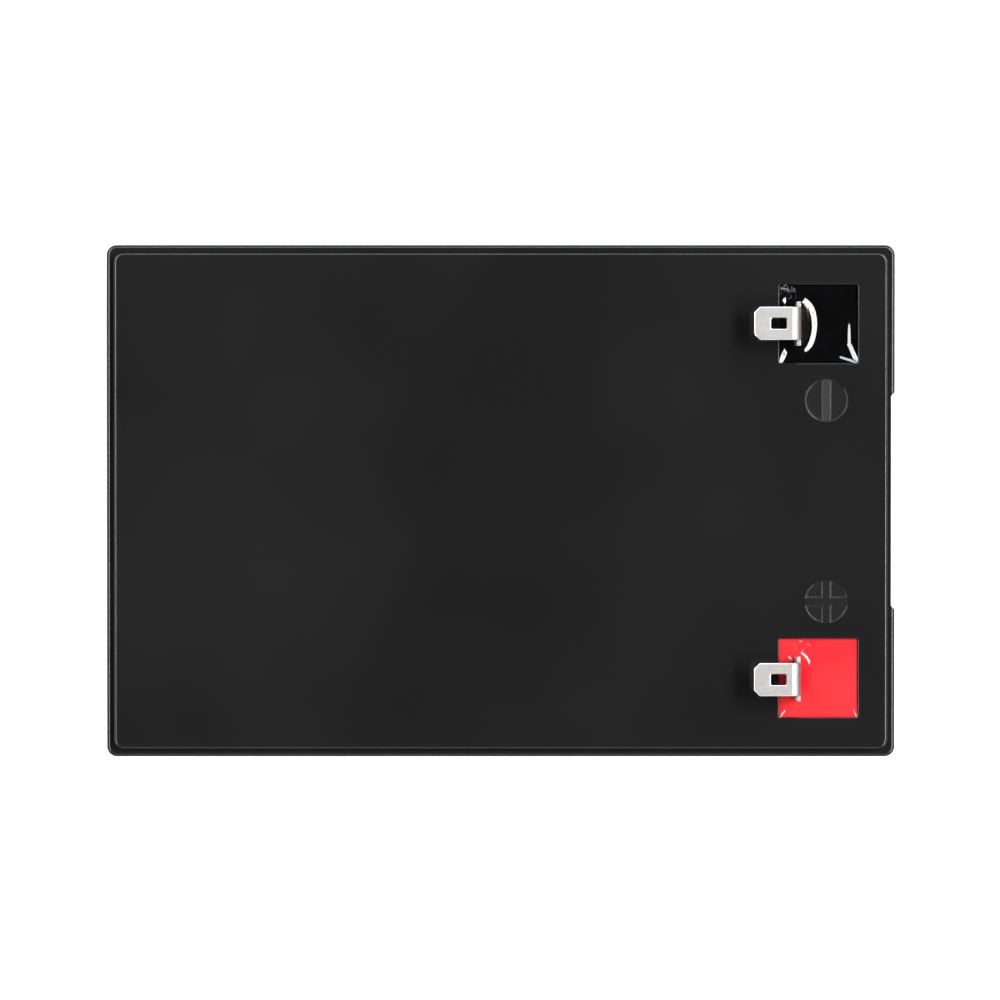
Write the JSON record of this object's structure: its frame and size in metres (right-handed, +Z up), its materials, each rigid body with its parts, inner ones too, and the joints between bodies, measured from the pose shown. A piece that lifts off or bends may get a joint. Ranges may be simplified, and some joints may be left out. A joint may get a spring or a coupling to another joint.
{
  "type": "lithium iron phosphate battery",
  "caption": "Sealed rechargeable battery in a black box case with a raised lid plate, resin-filled square wells, polarity marks and bent blade terminals.",
  "frame": {"origin": "centre of the case's footprint, on the plane it stands on", "axes": "+X along the case towards the end with the terminals, +Y towards the negative terminal, +Z up through the lid"},
  "size_m": [0.151, 0.098, 0.101],
  "materials": {
    "case_plastic": "satin moulded",
    "tinned_brass": "tin-plated, satin",
    "resin_black": "glossy cast",
    "resin_red": "glossy cast",
    "cell_steel": "nickel-plated",
    "cell_sleeve": "shrunk film",
    "fish_paper": "matt",
    "holder_plastic": "moulded",
    "tape_film": "film",
    "nickel": "rolled",
    "foam": "closed-cell foam",
    "board_laminate": "solder mask",
    "chip_plastic": "moulded",
    "shunt_metal": "satin",
    "capacitor_ceramic": "matt",
    "connector_plastic": "moulded",
    "lead_red": "silicone",
    "lead_black": "silicone",
    "wire_white": "silicone"
  },
  "bodies": {
    "root": {"container": "case_plastic", "lid": "case_plastic", "negative_terminal": "tinned_brass", "positive_terminal": "tinned_brass", "negative_seal": "resin_black", "positive_seal": "resin_red", "cell_washers": "fish_paper", "cell_holder_bottom": "holder_plastic", "cell_holder_top": "holder_plastic", "pack_band_low": "tape_film", "pack_band_high": "tape_film", "strip_negative": "nickel", "strip_link_back": "nickel", "strip_link_middle": "nickel", "strip_link_front": "nickel", "strip_positive": "nickel", "bottom_sheet": "fish_paper", "top_sheet": "fish_paper", "bottom_pad": "foam", "side_foam_left": "foam", "side_foam_right": "foam", "end_foam_front": "foam", "end_foam_back": "foam", "top_foam_front": "foam", "top_foam_back": "foam", "board_tape": "foam", "protection_board": "board_laminate", "board_switches": "chip_plastic", "board_shunts": "shunt_metal", "board_chip": "chip_plastic", "board_capacitors": "capacitor_ceramic", "sense_header": "connector_plastic", "sense_plug": "connector_plastic", "lead_positive": "lead_red", "lead_pack_negative": "lead_black", "lead_output_negative": "lead_black", "sense_wire_0": "lead_black", "sense_wire_1": "wire_white", "sense_wire_2": "wire_white", "sense_wire_3": "wire_white", "sense_wire_4": "lead_red", "cell_1a": "cell_steel", "cell_sleeve_1a": "cell_sleeve", "cell_1b": "cell_steel", "cell_sleeve_1b": "cell_sleeve", "cell_2a": "cell_steel", "cell_sleeve_2a": "cell_sleeve", "cell_2b": "cell_steel", "cell_sleeve_2b": "cell_sleeve", "cell_3a": "cell_steel", "cell_sleeve_3a": "cell_sleeve", "cell_3b": "cell_steel", "cell_sleeve_3b": "cell_sleeve", "cell_4a": "cell_steel", "cell_sleeve_4a": "cell_sleeve", "cell_4b": "cell_steel", "cell_sleeve_4b": "cell_sleeve"}
  },
  "joints": []
}
